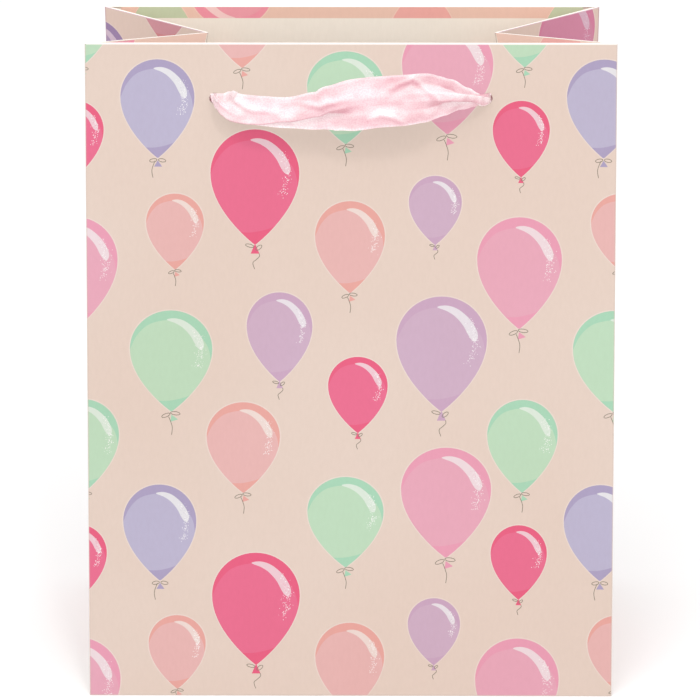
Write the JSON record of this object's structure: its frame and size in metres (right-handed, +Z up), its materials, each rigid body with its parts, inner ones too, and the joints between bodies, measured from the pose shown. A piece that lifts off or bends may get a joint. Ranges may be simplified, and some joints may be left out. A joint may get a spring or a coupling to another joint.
{
  "type": "gift bag",
  "caption": "Free-standing printed paper gift bag with folded side gussets, turned-in rim, base board and short satin ribbon handles.",
  "frame": {"origin": "centre of the base rectangle, on the surface that the bag stands on", "axes": "+X to the right seen from the front, +Y from the front panel to the back panel, +Z up"},
  "size_m": [0.2654, 0.1837, 0.3299],
  "materials": {
    "printed_paper": "satin coated, printed with balloons",
    "white_paper": "matt, uncoated",
    "rim_card": "matt",
    "board": "matt",
    "ribbon": "satin"
  },
  "bodies": {
    "base": {"front_bottom_flap": "white_paper", "back_bottom_flap": "white_paper", "left_bottom_flap": "white_paper", "right_bottom_flap": "white_paper", "base_board": "board"},
    "front_wall": {"front_panel": "printed_paper", "front_rim_card": "rim_card", "front_rim_turn_in": "printed_paper", "front_ribbon_left_knot": "ribbon", "front_ribbon_right_knot": "ribbon"},
    "back_wall": {"back_panel": "printed_paper", "back_rim_card": "rim_card", "back_rim_turn_in": "printed_paper", "side_seam_flap": "white_paper", "back_ribbon_left_knot": "ribbon", "back_ribbon_right_knot": "ribbon"},
    "right_centre": {"right_gusset_centre": "printed_paper"},
    "left_centre": {"left_gusset_centre": "printed_paper"},
    "front_handle": {"front_ribbon_loop": "ribbon"},
    "back_handle": {"back_ribbon_loop": "ribbon"},
    "right_front_wing": {"right_front_gusset": "printed_paper", "right_front_gusset_turn_in": "printed_paper"},
    "right_back_wing": {"right_back_gusset": "printed_paper", "right_back_gusset_turn_in": "printed_paper"},
    "left_front_wing": {"left_front_gusset": "printed_paper", "left_front_gusset_turn_in": "printed_paper"},
    "left_back_wing": {"left_back_gusset": "printed_paper", "left_back_gusset_turn_in": "printed_paper"}
  },
  "joints": [
    {"name": "mouth_close", "type": "hinge", "parent": "base", "child": "front_wall", "pos_m": [0, -0.07, 0], "axis": [-1, 0, 0], "range_deg": [0, 4.1], "stiffness_Nm_per_rad": 0.8, "springref_deg": -1.15},
    {"name": "back_wall_close", "type": "hinge", "parent": "base", "child": "back_wall", "pos_m": [0, 0.07, 0], "axis": [1, 0, 0], "range_deg": [0, 4.1]},
    {"name": "right_gusset_tilt", "type": "hinge", "parent": "base", "child": "right_centre", "pos_m": [0.1325, 0, 0], "axis": [0, -1, 0], "range_deg": [0, 1.8]},
    {"name": "left_gusset_tilt", "type": "hinge", "parent": "base", "child": "left_centre", "pos_m": [-0.1325, 0, 0], "axis": [0, 1, 0], "range_deg": [0, 1.8]},
    {"name": "right_front_fold", "type": "hinge", "parent": "front_wall", "child": "right_front_wing", "pos_m": [0.1325, -0.07, 0], "axis": [0, 0.213, 0.977], "range_deg": [0, 21.4]},
    {"name": "right_back_fold", "type": "hinge", "parent": "back_wall", "child": "right_back_wing", "pos_m": [0.1325, 0.07, 0], "axis": [0, -0.0262, -0.9997], "range_deg": [0, 20.7]},
    {"name": "left_front_fold", "type": "hinge", "parent": "front_wall", "child": "left_front_wing", "pos_m": [-0.1325, -0.07, 0], "axis": [0, -0.213, -0.977], "range_deg": [0, 21.4]},
    {"name": "left_back_fold", "type": "hinge", "parent": "back_wall", "child": "left_back_wing", "pos_m": [-0.1325, 0.07, 0], "axis": [0, 0.0262, 0.9997], "range_deg": [0, 20.7]},
    {"name": "front_handle_swing", "type": "hinge", "parent": "front_wall", "child": "front_handle", "pos_m": [0, -0.00819, 0.29664], "axis": [-1, 0, 0], "range_deg": [-50, 75]},
    {"name": "back_handle_swing", "type": "hinge", "parent": "back_wall", "child": "back_handle", "pos_m": [0, 0.08073, 0.30282], "axis": [1, 0, 0], "range_deg": [-38, 85]}
  ],
  "couplings": [
    {"joint": "back_wall_close", "follows": "mouth_close", "ratio": 0.9973},
    {"joint": "right_gusset_tilt", "follows": "mouth_close", "ratio": 0.4347},
    {"joint": "left_gusset_tilt", "follows": "mouth_close", "ratio": 0.4347},
    {"joint": "right_front_fold", "follows": "mouth_close", "ratio": 5.198},
    {"joint": "right_back_fold", "follows": "mouth_close", "ratio": 5.026},
    {"joint": "left_front_fold", "follows": "mouth_close", "ratio": 5.198},
    {"joint": "left_back_fold", "follows": "mouth_close", "ratio": 5.026}
  ]
}
